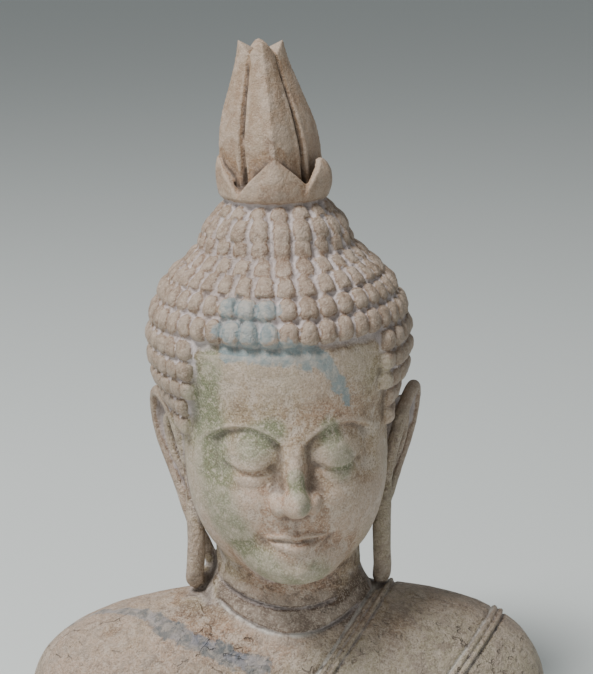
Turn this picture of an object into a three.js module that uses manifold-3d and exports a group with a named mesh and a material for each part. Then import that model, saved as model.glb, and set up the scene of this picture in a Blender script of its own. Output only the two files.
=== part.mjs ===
// A stone bust of a calm, meditating figure: beaded hair, a lotus-bud finial, long pierced ears, a creased neck
// and a robe over one shoulder. It is one carved block, cut flat below the shoulders.
// Millimetres, +Z up, the face looks along -Y, and the flat underside lies at Z = 0.
import * as THREE from "three";
import { mergeVertices } from "three/addons/utils/BufferGeometryUtils.js";
import Module from "manifold-3d";

// Driving dimensions: heights, one above the other from the underside
const shoulderRise = 70.5;
const neckShown = 15.5;
const faceHeight = 124;
const crownRise = 58;
const finialHeight = 80;

// Driving dimensions: breadths and depths, each from the middle
const armSpread = 134;
const chestHalfDepth = 56;
const neckRadius = 36.5;
const faceHalfWidth = 50.5;
const faceDepth = 50;
const faceReach = 64;
const skullHalfWidth = 62;
const skullHalfDepth = 67;
const crownRadius = 34;

// Driving dimensions: carving
const beadPitch = 9.8;
const beadRise = 4.6;
const hairThickness = 1.2;
const earLength = 104;
const earSpread = 69.5;
const lobeSpread = 52.5;
const earRimRadius = 3.4;
const lobeRadius = 4.7;
const finialRadius = 25.3;
const calyxRadius = 26.5;
const sepalHeight = 23;
const robeBandWidth = 5;
const robeBandRise = 1.4;
const robeSlope = 1.615;
const robeTurn = 0.35;
const sepalFlare = 3.2;
const neckCreaseDepth = 2.2;
const headLean = 2;
const finialLean = 3;

// Levels that the carving hangs on
const chinZ = shoulderRise + neckShown;
const hairlineZ = chinZ + faceHeight;
const seatZ = hairlineZ + crownRise;
const browZ = chinZ + (faceHeight * 2) / 3;
const noseZ = chinZ + faceHeight / 3;
const mouthZ = noseZ - faceHeight / 9;
const lidZ = chinZ + faceHeight * 0.54;
const napeZ = chinZ + faceHeight * 0.28;
const leanPivotZ = chinZ - 11;

// The face is drawn in shares: fh is a hundredth of its height and fw a hundredth of its width
const fh = faceHeight / 100;
const fw = (2 * faceHalfWidth) / 100;

const { PI, abs, atan2, cos, exp, floor, hypot, max, min, pow, round, sin, sqrt, tan } = Math;
const { clamp, lerp, euclideanModulo } = THREE.MathUtils;
const rad = THREE.MathUtils.degToRad;
const ease = (a, b, x) => THREE.MathUtils.smoothstep(x, a, b);
const hump = (x, width) => exp(-((x / width) ** 2));

// A maximum with a fillet of about the blend's size
function softMax(a, b, blend) {
  const close = max(blend - abs(a - b), 0) / blend;
  return max(a, b) + (close * close * blend) / 4;
}

// The rounded masses of the head: face, chin, back of the skull, crown and the raised crown under the finial
const masses = [
  { at: [0, faceDepth - faceReach, chinZ + 52 * fh], size: [faceHalfWidth, faceDepth, 53 * fh], power: 2.4, blend: 6 },
  { at: [0, 26 - faceReach, chinZ + 12 * fh], size: [23, 25, 12 * fh], power: 2, blend: 14 },
  { at: [0, 18, chinZ + 54 * fh], size: [48, 42, 42 * fh], power: 2, blend: 14 },
  { at: [0, 4, hairlineZ - 10], size: [skullHalfWidth, skullHalfDepth, crownRise * 0.84], power: 2.25, blend: 10 },
  { at: [0, 1, seatZ - 22], size: [crownRadius, crownRadius + 1, 26], power: 2, blend: 16 },
];

// How far one mass reaches from the upright axis at height z, in the direction (dx, dy)
function massReach(mass, dx, dy, z) {
  const [cx, cy, cz] = mass.at;
  const [a, b, c] = mass.size;
  const rise = abs(z - cz) / c;
  if (rise >= 1) return 0;
  const waist = pow(1 - pow(rise, mass.power), 1 / mass.power);
  const A = (dx / a) ** 2 + (dy / b) ** 2;
  const B = -2 * ((dx * cx) / a ** 2 + (dy * cy) / b ** 2);
  const C = (cx / a) ** 2 + (cy / b) ** 2 - waist * waist;
  const inside = B * B - 4 * A * C;
  return inside < 0 ? 0 : max(0, (-B + sqrt(inside)) / (2 * A));
}

// The torso narrows from the arms to the shoulder line. Low creases part the arms from chest and back.
function torsoReach(dx, dy, z) {
  const share = clamp(z / shoulderRise, 0, 1);
  const wide = armSpread * pow(1 - share ** 3, 0.4);
  const deep = chestHalfDepth * sqrt(1 - share ** 3);
  if (wide < 1 || deep < 1) return 0;
  const power = lerp(2.5, 2, share);
  const reach = pow(pow(abs(dx) / wide, power) + pow(abs(dy) / deep, power), -1 / power);
  const armpit = hump(abs(dx) * reach - 0.67 * armSpread, 9) * (1 - ease(0, 0.5, share));
  return reach - 7 * armpit;
}

// The neck is a column that spreads towards the shoulders
function neckReach(dx, dy, z) {
  if (z > chinZ + 30) return 0;
  const spread = 0.1 * pow(clamp(chinZ - 2 - z, 0, 18), 1.6);
  const [wide, deep] = [neckRadius + spread, neckRadius + 0.22 * spread];
  return 1 / sqrt((dx / wide) ** 2 + (dy / deep) ** 2);
}

// Radius of the smooth body and head at an angle from the front and a height
function smoothRadius(angle, z) {
  const dx = sin(angle);
  const dy = -cos(angle);
  const body = softMax(torsoReach(dx, dy, z), neckReach(dx, dy, z), 14);
  return masses.reduce((far, mass) => softMax(far, massReach(mass, dx, dy, z), mass.blend), body);
}

// Relief of the face, forward of the smooth head. Every feature line gives a height over the distance from the middle.
const browLine = (x) => browZ + 1.2 * fh - 7.6 * fh * ((clamp(x, 5 * fw, 46 * fw) - 24 * fw) / (20 * fw)) ** 2;
const lidLine = (x) => lidZ - 3.2 * fh * max(0, 1 - ((x - 21 * fw) / (12 * fw)) ** 2);
const mouthLine = (x) => mouthZ + 1.7 * fh * pow(min(x / (19 * fw), 1), 2.2) - 0.5 * fh * hump(x, 2.5 * fw);

// A dome is a low ellipsoid cap, the softer at its border the greater its fall
function dome(x, z, cx, cz, a, c, rise, fall = 0.6) {
  const far = ((x - cx) / a) ** 2 + ((z - cz) / c) ** 2;
  return far < 1 ? rise * pow(1 - far, fall) : 0;
}

function eyeRelief(x, z) {
  const below = browLine(x) - z;
  const across = ease(3.5 * fw, 9 * fw, x) * (1 - ease(33 * fw, 46 * fw, x));
  const socket = (1 - exp(-max(below, 0) / 2.6)) * (1 - ease(12 * fh, 30 * fh, below));
  const ball = dome(x, z, 21.2 * fw, lidZ + 1.4 * fh, 15 * fw, 12 * fh, 6, 1.15);
  const under = lidLine(x) - z;
  const slit = (1 - ease(10.5 * fw, 13 * fw, abs(x - 21 * fw))) * ease(0, 0.7 * fh, under);
  const step = slit * (1 - ease(1.5 * fh, 6 * fh, under));
  const lowerLid = 0.5 * hump(under - 3 * fh, 1.2 * fh) * slit;
  return -5 * socket * across + 0.5 * across * hump(below, 1.2) + ball - 1.7 * step + lowerLid;
}

function noseRelief(x, z) {
  const up = clamp((z - noseZ) / (browZ - 5 * fh - noseZ), 0, 1);
  const width = lerp(10.5, 7, up) * fw;
  const height = lerp(15, 2.8, pow(up, 0.9)) * (1 - ease(browZ - 9 * fh, browZ + 1 * fh, z));
  const foot = ease(noseZ - 0.8 * fh, noseZ + 2.4 * fh, z);
  const bridge = height * foot * (1 - ease(0.1, 1, x / width));
  const tip = dome(x, z, 0, noseZ + 5.4 * fh, 8.4 * fw, 7.2 * fh, 15.5);
  const wing = dome(x, z, 7.8 * fw, noseZ + 4.2 * fh, 4.9 * fw, 5.2 * fh, 9);
  return softMax(softMax(bridge, tip, 5), wing, 5);
}

function mouthRelief(x, z) {
  const line = mouthLine(x);
  const upper = 4.2 * fh * max(0, 1 - pow(x / (19 * fw), 1.8)) - 0.8 * fh * hump(x, 2.6 * fw);
  const lower = 5.4 * fh * max(0, 1 - (x / (16 * fw)) ** 2);
  const rise = z > line ? (z - line) / max(upper, 0.1) : (line - z) / max(lower, 0.1);
  const fade = 1 - ease(12 * fw, 19 * fw, x);
  const lip = rise < 1 ? 2.4 * fade * pow(sin(PI * pow(rise, 0.8)), 0.85) : 0;
  const groove = -1.2 * hump(z - line, 0.9 * fh) * (1 - ease(16.5 * fw, 20.5 * fw, x));
  return 3.4 * hump(hypot(x / (23 * fw), (z - mouthZ) / (13 * fh)), 1) + lip + groove;
}

function faceRelief(x, z) {
  const side = abs(x);
  const philtrum = -0.6 * hump(side, 1.6 * fw) * hump(z - (noseZ - 4 * fh), 3 * fh);
  const chin = 2.6 * hump(hypot(side / (13 * fw), (z - chinZ - 8 * fh) / (7 * fh)), 1);
  const chinFold = -1.6 * hump(z - (mouthZ - 9.5 * fh), 2.6 * fh) * hump(side, 14 * fw);
  const cheek = 2.6 * hump(hypot((side - 25 * fw) / (13 * fw), (z - noseZ - 3 * fh) / (13 * fh)), 1);
  return eyeRelief(side, z) + noseRelief(side, z) + mouthRelief(side, z) + philtrum + chin + chinFold + cheek;
}

// Anchors that bend the mesh rows along the feature lines. A bare number is a level row.
const anchors = [[mouthZ - 10], [mouthZ, mouthLine], [noseZ], [lidZ - 12], [lidZ, lidLine], [browZ, browLine]];
anchors.push([browZ + 22]);

function featureZ(level, x) {
  const i = anchors.findIndex(([z]) => z > level);
  if (i < 1) return level;
  const [[z0, line0], [z1, line1]] = [anchors[i - 1], anchors[i]];
  const share = (level - z0) / (z1 - z0);
  return lerp(line0 ? line0(abs(x)) : z0, line1 ? line1(abs(x)) : z1, share);
}

// Rows tilt: neck rings hang lower in front, and the hair rows dip over the brow
function levelZ(level, angle) {
  const turn = euclideanModulo(angle + PI, 2 * PI) - PI;
  const neckTilt = 16 * hump(level - (chinZ - 22), 20);
  const hairDip = 2.5 * ease(hairlineZ - 40, hairlineZ, level) * (1 - ease(hairlineZ, seatZ, level));
  const z = level + (neckTilt * (1 - cos(turn))) / 2 - hairDip * hump(turn, rad(34));
  const front = ease(0.1, 0.5, cos(turn));
  return front > 0 ? lerp(z, featureZ(z, smoothRadius(angle, z) * sin(angle)), front) : z;
}

// Two creases across the front of the neck, fading out at its sides
const creaseLevels = [chinZ - 15.5, chinZ - 27.5];
function neckCreases(level, side) {
  const across = 1 - ease(0.85 * neckRadius, 1.1 * neckRadius, abs(side));
  return -neckCreaseDepth * across * creaseLevels.reduce((sum, at) => sum + hump(level - at, 1.7), 0);
}

// The head leans to one side, more and more above the neck
function lean(point) {
  const share = ease(leanPivotZ - 15, leanPivotZ + 35, point.z) * sin(rad(headLean));
  const { x, z } = point;
  return point.set(x - (z - leanPivotZ) * share, point.y, z + x * share);
}

// A point of the bare stone before the head's lean
function skin(angle, level) {
  const z = levelZ(level, angle);
  const smooth = smoothRadius(angle, z);
  const radius = smooth + (cos(angle) > 0 ? neckCreases(level, smooth * sin(angle)) : 0);
  const x = radius * sin(angle);
  const y = -radius * cos(angle);
  const front = ease(10, 30, -y) * ease(chinZ - 4, chinZ + 5, z) * (1 - ease(hairlineZ - 8, hairlineZ, z));
  return new THREE.Vector3(x, y - (front > 0 ? front * faceRelief(x, z) : 0), z);
}

// The same point, moved out along the surface's own normal
function skinOut(angle, level, rise) {
  const here = skin(angle, level);
  const across = skin(angle + 0.01, level).sub(here);
  const up = skin(angle, level + 0.5).sub(here);
  return here.add(across.cross(up).normalize().multiplyScalar(rise));
}

// A closed skin over rings of points. A ring is a list of {t, p} that goes once round while t rises by one.
// A ring with peaks makes a four-sided pyramid on each of the fields between it and the next ring.
function stitchRings(rings, ends) {
  const positions = [];
  const faces = [];
  const add = (p) => positions.push(p.x, p.y, p.z) / 3 - 1;
  const indexed = rings.map(({ ring }) => ring.map(({ p }) => add(p)));
  rings.slice(1).forEach(({ ring: upper }, i) => {
    const { ring: lower, peaks } = rings[i];
    const lo = (k) => indexed[i][k % lower.length];
    const hi = (k) => indexed[i + 1][k % upper.length];
    if (peaks) {
      peaks.forEach((p, k) => {
        const peak = add(p);
        faces.push(lo(k), lo(k + 1), peak, lo(k + 1), hi(k + 1), peak, hi(k + 1), hi(k), peak, hi(k), lo(k), peak);
      });
      return;
    }
    const turnOf = (ring, k) => ring[k % ring.length].t + floor(k / ring.length);
    for (let a = 0, b = 0; a < lower.length || b < upper.length; ) {
      const nextA = a < lower.length ? turnOf(lower, a + 1) : Infinity;
      const nextB = b < upper.length ? turnOf(upper, b + 1) : Infinity;
      if (nextA <= nextB) faces.push(lo(a), lo(++a), hi(b));
      else faces.push(lo(a), hi(b + 1), hi(b++));
    }
  });
  [indexed[0], [...indexed.at(-1)].reverse()].forEach((end, i) => {
    const middle = add(ends[i]);
    end.forEach((a, k) => faces.push(end[(k + 1) % end.length], a, middle));
  });
  const geometry = new THREE.BufferGeometry();
  geometry.setAttribute("position", new THREE.Float32BufferAttribute(positions, 3));
  return geometry.setIndex(faces);
}

const wasm = await Module();
wasm.setup();

function solidOf(geometry) {
  const bare = new THREE.BufferGeometry().setAttribute("position", geometry.getAttribute("position"));
  const { attributes, index } = mergeVertices(bare.setIndex(geometry.index), 1e-4);
  const triVerts = new Uint32Array(index.array);
  return new wasm.Manifold(new wasm.Mesh({ numProp: 3, vertProperties: attributes.position.array, triVerts }));
}

const loft = (rings, ends) => solidOf(stitchRings(rings.map((ring) => ({ ring })), ends));

// Levels from one height to the next, each span with its own step
const spans = (list) =>
  list.slice(1).flatMap(([to, step], i) => {
    const from = list[i][0];
    const count = max(1, round((to - from) / step));
    return Array.from({ length: count }, (_, k) => from + ((to - from) * k) / count);
  });

// A torso ring with points spread evenly along its outline, moved out by the rise
function torsoRing(level, rise) {
  const [wide, deep] = [smoothRadius(PI / 2, level), smoothRadius(0, level)];
  return Array.from({ length: 36 }, (_, k) => {
    const t = (k + 0.5) / 36;
    const angle = atan2(wide * sin(2 * PI * t), deep * cos(2 * PI * t));
    const p = skinOut(angle, level, rise);
    if (level === 0) p.z = 0;
    return { t: euclideanModulo(angle / (2 * PI), 1), p: lean(p) };
  });
}

const torsoLevels = spans([[0], [shoulderRise * 0.5, 18], [shoulderRise * 0.9, 6], [chinZ - 15, 2.4]]);

// Body, neck and head in one skin, with rows that follow the features of the face
function headAndBody() {
  const fromMiddle = [2.6, 5.6, 8.2, 10.8, 15.5, 20.5, 25.5, 30.5, 36, 43, 52].map((x) => x * fw);
  const half = [...fromMiddle.map((x) => atan2(x, sqrt((1.2 * faceHalfWidth) ** 2 - x * x))), ...[82, 115, 148].map(rad)];
  const faceAngles = [0, ...half, PI, ...half.map((angle) => 2 * PI - angle).reverse()];
  const faceLevels = spans([
    [chinZ - 15],
    [chinZ - 4, 4],
    [chinZ + 4, 2.6],
    [mouthZ - 7 * fh, 5],
    [mouthZ + 6 * fh, 2.3],
    [noseZ - 1 * fh, 3],
    [noseZ + 4 * fh, 1.7],
    [lidZ - 6 * fh, 5],
    [lidZ - 1.2 * fh, 3],
    [lidZ, 1.5],
    [browZ - 3 * fh, 4.5],
    [browZ, 1.3],
    [browZ + 3 * fh, 3],
    [hairlineZ + 6, 14],
  ]);
  const rings = [
    ...torsoLevels.map((level) => torsoRing(level, 0)),
    ...faceLevels.map((level) => faceAngles.map((a) => ({ t: a / (2 * PI), p: lean(skin(a, level)) }))),
    ...[hairlineZ + 6, hairlineZ + 26].map((level) =>
      Array.from({ length: 24 }, (_, k) => ({ t: k / 24, p: lean(skin((2 * PI * k) / 24, level)) })),
    ),
  ];
  return loft(rings, [new THREE.Vector3(), lean(new THREE.Vector3(0, 0, hairlineZ + 34))]);
}

// Robe edges: a wide neckline and the sash that hangs over the covered shoulder, each a slab cut from a thicker torso
function robeBands() {
  const top = new THREE.Vector3(0, 0, chinZ - 18);
  const thick = loft(torsoLevels.map((level) => torsoRing(level, robeBandRise)), [new THREE.Vector3(), top]);
  const slab = (foot, slope) => {
    const facing = new THREE.Vector3(1, -robeTurn, -1 / slope).normalize();
    const turned = new THREE.Quaternion().setFromUnitVectors(new THREE.Vector3(1, 0, 0), facing);
    const box = new THREE.BoxGeometry(robeBandWidth, 3 * armSpread, 4 * shoulderRise);
    return solidOf(box.applyQuaternion(turned).translate(foot, 0, 0));
  };
  const edges = [slab(0.05 * armSpread, robeSlope), slab(0.512 * armSpread, 0.82 * robeSlope)];
  return edges.map((edge) => thick.intersect(edge));
}

// The hairline: level over the brow, down the temples before the ears, and low at the nape
function hasHair(angle, level) {
  if (level > hairlineZ) return true;
  const off = abs(euclideanModulo(angle + PI, 2 * PI) - PI);
  if (off < rad(lerp(49, 38, ease(hairlineZ - 2.2 * beadPitch, hairlineZ, level)))) return false;
  const temple = hairlineZ - 46 * ease(rad(38), rad(62), off);
  return level > (off > rad(100) ? napeZ : temple);
}

// Rows of beads from the nape to the seat of the finial, each with its two levels and its count of beads
function beadRows() {
  const edges = [];
  const below = round((hairlineZ - napeZ) / beadPitch);
  for (let i = below; i > 0; i--) edges.push(hairlineZ - ((hairlineZ - napeZ) * i) / below);
  let level = hairlineZ;
  for (let size = beadPitch * 1.2; level < seatZ - 2; size = max(beadPitch * 0.98, size * 0.93)) {
    edges.push(level);
    const from = level;
    while (hypot(smoothRadius(PI / 2, level) - smoothRadius(PI / 2, from), level - from) < size) level += 0.25;
  }
  edges.push(min(level, seatZ + 2));
  return edges.slice(1).map((to, i) => {
    const middle = (edges[i] + to) / 2;
    const around = PI * (smoothRadius(PI / 2, middle) + (smoothRadius(0, middle) + smoothRadius(PI, middle)) / 2);
    const count = middle < hairlineZ + 12 ? 42 : round(around / beadPitch);
    return { from: edges[i], to, middle, count };
  });
}

// The hair: rows of beads over a thin cap, sunk into the head where there is no hair
function hairCap() {
  const sunk = -7;
  const rows = beadRows();
  const point = (turns, level, rise) => ({ t: turns, p: lean(skinOut(2 * PI * turns, level, rise)) });
  const rings = rows.flatMap(({ from, to, middle, count }, i) => {
    const grown = (k) => hasHair((2 * PI * k) / count, middle);
    const corners = (level) =>
      Array.from({ length: count }, (_, k) =>
        point((k - 0.5) / count, level, grown(k) || grown(k - 1) ? hairThickness : sunk),
      );
    const rise = hairThickness + beadRise;
    const peaks = Array.from({ length: count }, (_, k) => point(k / count, middle, grown(k) ? rise : sunk).p);
    const next = rows[i + 1];
    const low = { ring: corners(from), peaks };
    return next && next.count === count ? [low] : [low, { ring: corners(to - 0.2) }];
  });
  const ends = [new THREE.Vector3(0, 10, rows[0].from + 12), new THREE.Vector3(0, 0, seatZ)];
  return solidOf(stitchRings(rings, ends.map(lean)));
}

// The finial: a lotus bud of four keeled petals in a calyx of four unequal sepals, each with its turn and half width
// in degrees, the swell of its sides and how far it stands off the bud
const sepals = [[0, 46, 1.3, 0], [62, 30, 1.9, sepalFlare], [158, 62, 1.3, 0], [-92, 46, 1.3, 0]];
const fromKeel = (turn) => abs(euclideanModulo(turn + PI / 4, PI / 2) - PI / 4) / (PI / 4);

function budRadius(turn, share) {
  const keel = finialRadius * (0.42 + 0.29 * (1 + cos(PI * clamp((share - 0.31) / 0.79, 0, 1))));
  return keel * (1 - (0.26 - 0.06 * share) * pow(fromKeel(turn), 1.3));
}

function sepal(turn, spread, swell, flare) {
  const [across, up, thickness] = [4, 4, 3.4];
  const point = (u, v, inset) => {
    const half = rad(spread) * (1 - v ** swell) + 0.03;
    const keel = 2.2 * (1 - abs(u)) * (0.4 + 0.6 * sin(PI * v));
    const radius = calyxRadius - 1.2 * v + flare * sin(0.8 * PI * v) + keel - inset;
    const angle = rad(turn) + u * half;
    return new THREE.Vector3(radius * sin(angle), -radius * cos(angle), 4.2 + (sepalHeight - 3.2) * v);
  };
  const rings = Array.from({ length: up + 1 }, (_, j) => {
    const v = (j / up) * 0.97;
    const front = Array.from({ length: across + 1 }, (_, i) => point((2 * i) / across - 1, v, 0));
    const back = Array.from({ length: across + 1 }, (_, i) => point(1 - (2 * i) / across, v, thickness));
    return [...front, ...back].map((p, i, all) => ({ t: i / all.length, p }));
  });
  return loft(rings, [point(0, 0, thickness / 2), point(0, 1, thickness / 2)]);
}

function finialPart() {
  const around = 24;
  const levels = 8;
  const rings = Array.from({ length: levels + 1 }, (_, i) =>
    Array.from({ length: around }, (_, k) => {
      const share = i / levels;
      const turn = (2 * PI * k) / around;
      const radius = budRadius(turn, share);
      const z = finialHeight * share * (1 - 0.08 * share * fromKeel(turn));
      return { t: k / around, p: new THREE.Vector3(radius * sin(turn), -radius * cos(turn), z) };
    }),
  );
  const bud = loft(rings, [new THREE.Vector3(0, 0, -2), new THREE.Vector3(0, 0, finialHeight * 0.95)]);
  const outline = [[0, -8], [0.8, -8], [0.85, 1], [1, 4.5], [0.97, 8], [0.7, 10], [0, 10]];
  const calyx = new THREE.LatheGeometry(outline.map(([r, z]) => new THREE.Vector2(r * calyxRadius, z)), 16);
  const solid = sepals.reduce((whole, sizes) => whole.add(sepal(...sizes)), bud);
  return solid.add(solidOf(calyx.rotateX(PI / 2)));
}

// A bar of round section along a curve through points of [place, radius]
function bar(knots, sides, steps) {
  const curve = new THREE.CatmullRomCurve3(knots.map(([p]) => p));
  const frames = curve.computeFrenetFrames(steps, false);
  const spots = curve.getSpacedPoints(steps);
  const rings = spots.map((spot, i) => {
    const at = curve.getUtoTmapping(i / steps) * (knots.length - 1);
    const k = min(floor(at), knots.length - 2);
    const r = lerp(knots[k][1], knots[k + 1][1], at - k);
    return Array.from({ length: sides }, (_, j) => {
      const turn = (2 * PI * j) / sides;
      const p = spot.clone().addScaledVector(frames.normals[i], r * cos(turn));
      return { t: j / sides, p: p.addScaledVector(frames.binormals[i], r * sin(turn)) };
    });
  });
  return loft(rings, [spots[0], spots[steps]]);
}

// An ear: a rim round a hollowed plate that flares from the head, and a long lobe slit into two bands.
// The lobe of one ear is twisted, so that its rear band comes nearer the neck.
const earFootZ = chinZ - 15;
const earEdge = (share) => lerp(lobeSpread, earSpread, ease(0.25, 0.9, share));
const earRear = (share) => lerp(7, 20, ease(0.2, 0.8, share)) - 7 * ease(0.85, 1, share);

function ear(side, twist) {
  const at = (out, back, share) => new THREE.Vector3(side * out, back, earFootZ + earLength * share);
  const onEdge = (share, inset) => at(earEdge(share) - inset, earRear(share) - 0.4 * inset, share);
  const r = earRimRadius;
  const l = lobeRadius;
  const rim = [
    [at(50, -3, 0.6), r],
    [at(54, -4, 0.76), r],
    [at(59, 0, 0.9), r],
    [at(64, 8, 0.965), r],
    [onEdge(0.93, r), r],
    ...[0.82, 0.7, 0.58, 0.46].map((share) => [onEdge(share, r), r]),
    [at(lobeSpread - l, 8.5, 0.3), r],
    [at(lobeSpread - l - twist * 0.7, 9, 0.18), r],
    [at(lobeSpread - l - twist, 8, 0.08), r],
    [at(lobeSpread - l - twist * 0.4, 5, 0.03), l * 0.9],
    [at(lobeSpread - l, 0, 0.04), l],
    [at(lobeSpread - l, -3, 0.1), l],
    [at(lobeSpread - l - 0.6, -4, 0.24), l],
    [at(lobeSpread - l, -3, 0.4), l],
    [at(lobeSpread - l + 1.2, -2.6, 0.52), r],
    [at(50.4, -3.2, 0.62), r],
  ];
  const fold = [[at(52, 2, 0.86), 2.2], [at(60, 9, 0.84), 2.6], [at(58, 10, 0.68), 2.6], [at(52, 6, 0.55), 2.2]];
  const plate = [0.46, 0.58, 0.7, 0.82, 0.92].map((share) => {
    const outer = onEdge(share, r);
    const inner = at(44, -2, share);
    const lift = new THREE.Vector3(side * 1.2, -1.8, 0);
    const corners = [inner.clone().add(lift), outer.clone().add(lift), outer.sub(lift), inner.sub(lift)];
    if (side < 0) corners.reverse();
    return corners.map((p, i) => ({ t: i / 4, p }));
  });
  const ends = [plate[0], plate.at(-1)].map((ring) => ring[0].p.clone().lerp(ring[2].p, 0.5));
  return [bar(rim, 6, 30), bar(fold, 5, 6), loft(plate, ends)];
}

function bust() {
  const twist = 9;
  const seat = new THREE.Vector3(0, 0, seatZ);
  const slant = -tan(rad(headLean + finialLean));
  const stand = new THREE.Matrix4().makeShear(0, 0, 0, 0, slant, 0).setPosition(lean(seat));
  const parts = [hairCap(), ...ear(-1, twist), ...ear(1, 0), ...robeBands(), finialPart().transform(stand.elements)];
  const whole = parts.reduce((a, b) => a.add(b), headAndBody()).trimByPlane([0, 0, 1], 0);
  const { vertProperties, triVerts } = whole.getMesh();
  const geometry = new THREE.BufferGeometry();
  geometry.setAttribute("position", new THREE.BufferAttribute(vertProperties, 3));
  geometry.setIndex(new THREE.BufferAttribute(triVerts, 1));
  geometry.computeVertexNormals();
  const stone = new THREE.MeshStandardMaterial({ color: 0xa89a8a, roughness: 0.6, metalness: 0 });
  const mesh = new THREE.Mesh(geometry, stone);
  mesh.name = "bust";
  return new THREE.Group().add(mesh);
}

export default bust();
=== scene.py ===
from math import cos, pi, radians, sin, tan

import bpy
import numpy as np
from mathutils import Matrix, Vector


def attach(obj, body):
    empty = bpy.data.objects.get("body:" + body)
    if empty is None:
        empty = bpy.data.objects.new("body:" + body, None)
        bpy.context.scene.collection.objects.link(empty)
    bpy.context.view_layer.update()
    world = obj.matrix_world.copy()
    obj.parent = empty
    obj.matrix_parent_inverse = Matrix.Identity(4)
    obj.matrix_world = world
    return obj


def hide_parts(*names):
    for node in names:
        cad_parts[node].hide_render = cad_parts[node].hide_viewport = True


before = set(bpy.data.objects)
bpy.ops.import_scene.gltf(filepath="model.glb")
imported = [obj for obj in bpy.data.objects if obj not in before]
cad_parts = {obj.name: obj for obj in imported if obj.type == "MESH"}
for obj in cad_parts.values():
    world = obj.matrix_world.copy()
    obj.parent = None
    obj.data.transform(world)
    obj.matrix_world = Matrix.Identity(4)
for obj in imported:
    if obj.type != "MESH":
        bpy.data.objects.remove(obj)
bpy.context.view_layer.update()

MM = 0.001

# Heights and breadths, as in the solid
shoulder_rise = 70.5
chin_z = 86
face_height = 124
crown_rise = 58
finial_height = 80
arm_spread = 134
chest_half_depth = 56
neck_radius = 36.5
face_half_width = 50.5
face_depth = 50
face_reach = 64
skull_half_width = 62
skull_half_depth = 67
crown_radius = 34

# Carving
bead_pitch = 9.8
bead_rise = 4.3
hair_thickness = 1.2
lower_beads = 42
ear_length = 104
ear_spread = 69.5
lobe_spread = 52.5
ear_rim_radius = 3.4
lobe_radius = 4.7
lobe_twist = 9
finial_radius = 25.3
calyx_radius = 26.5
sepal_flare = 3.2
sepal_height = 23
robe_band_width = 5
robe_slope = 1.615
robe_turn = 0.35
robe_edges = ((0.05 * arm_spread, robe_slope), (0.512 * arm_spread, 0.82 * robe_slope))
neck_crease_depth = 2.2
head_lean = radians(2)
finial_lean = radians(3)

# Levels that the carving hangs on
hairline_z = chin_z + face_height
seat_z = hairline_z + crown_rise
brow_z = chin_z + face_height * 2 / 3
nose_z = chin_z + face_height / 3
mouth_z = nose_z - face_height / 9
lid_z = chin_z + face_height * 0.54
nape_z = chin_z + face_height * 0.28
lean_pivot_z = chin_z - 11
neck_cuts = ((chin_z - 15.5, 8.5, 19), (chin_z - 27.5, 12, 32))
fh = face_height / 100
fw = 2 * face_half_width / 100

# Mesh fineness
voxel = 0.72
triangle_goal = 190000


def ease(a, b, x):
    share = np.clip((x - a) / (b - a), 0, 1)
    return share * share * (3 - 2 * share)


def mix(a, b, share):
    return a + (b - a) * share


def hump(x, width):
    return np.exp(-((x / width) ** 2))


def soft_max(a, b, blend):
    close = np.maximum(blend - np.abs(a - b), 0) / blend
    return np.maximum(a, b) + close * close * blend / 4


def wrapped(angle):
    return (angle + pi) % (2 * pi) - pi


# The rounded masses of the head: face, chin, back of the skull, crown and raised crown,
# each as its centre, size, power and blend
face_size = (face_half_width, face_depth, 53 * fh)
crown_size = (skull_half_width, skull_half_depth, crown_rise * 0.84)
masses = [
    ((0, face_depth - face_reach, chin_z + 52 * fh), face_size, 2.4, 6),
    ((0, 26 - face_reach, chin_z + 12 * fh), (23, 25, 12 * fh), 2, 14),
    ((0, 18, chin_z + 54 * fh), (48, 42, 42 * fh), 2, 14),
    ((0, 4, hairline_z - 10), crown_size, 2.25, 10),
    ((0, 1, seat_z - 22), (crown_radius, crown_radius + 1, 26), 2, 16),
]


def mass_reach(centre, size, power, dx, dy, z):
    """How far one mass reaches from the upright axis at height z, in the direction (dx, dy)."""
    cx, cy, cz = centre
    a, b, c = size
    rise = np.minimum(np.abs(z - cz) / c, 1)
    waist = (1 - rise**power) ** (1 / power)
    A = (dx / a) ** 2 + (dy / b) ** 2
    B = -2 * (dx * cx / a**2 + dy * cy / b**2)
    C = (cx / a) ** 2 + (cy / b) ** 2 - waist * waist
    inside = B * B - 4 * A * C
    reach = (-B + np.sqrt(np.maximum(inside, 0))) / (2 * A)
    return np.where((rise >= 1) | (inside < 0), 0, np.maximum(reach, 0))


def torso_reach(dx, dy, z):
    share = np.clip(z / shoulder_rise, 0, 0.999)
    wide = arm_spread * (1 - share**3) ** 0.4
    deep = chest_half_depth * np.sqrt(1 - share**3)
    power = mix(2.5, 2, share)
    reach = ((np.abs(dx) / wide) ** power + (np.abs(dy) / deep) ** power) ** (-1 / power)
    armpit = hump(np.abs(dx) * reach - 0.67 * arm_spread, 9) * (1 - ease(0, 0.5, share))
    return np.where(z < shoulder_rise, reach - 7 * armpit, 0)


def neck_reach(dx, dy, z):
    spread = 0.1 * np.clip(chin_z - 2 - z, 0, 18) ** 1.6
    wide = neck_radius + spread
    deep = neck_radius + 0.22 * spread
    return np.where(z > chin_z + 30, 0, 1 / np.sqrt((dx / wide) ** 2 + (dy / deep) ** 2))


def smooth_radius(angle, z):
    """Radius of the smooth body and head at an angle from the front and a height."""
    dx = np.sin(angle)
    dy = -np.cos(angle)
    reach = soft_max(torso_reach(dx, dy, z), neck_reach(dx, dy, z), 14)
    for centre, size, power, blend in masses:
        reach = soft_max(reach, mass_reach(centre, size, power, dx, dy, z), blend)
    return reach


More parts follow.
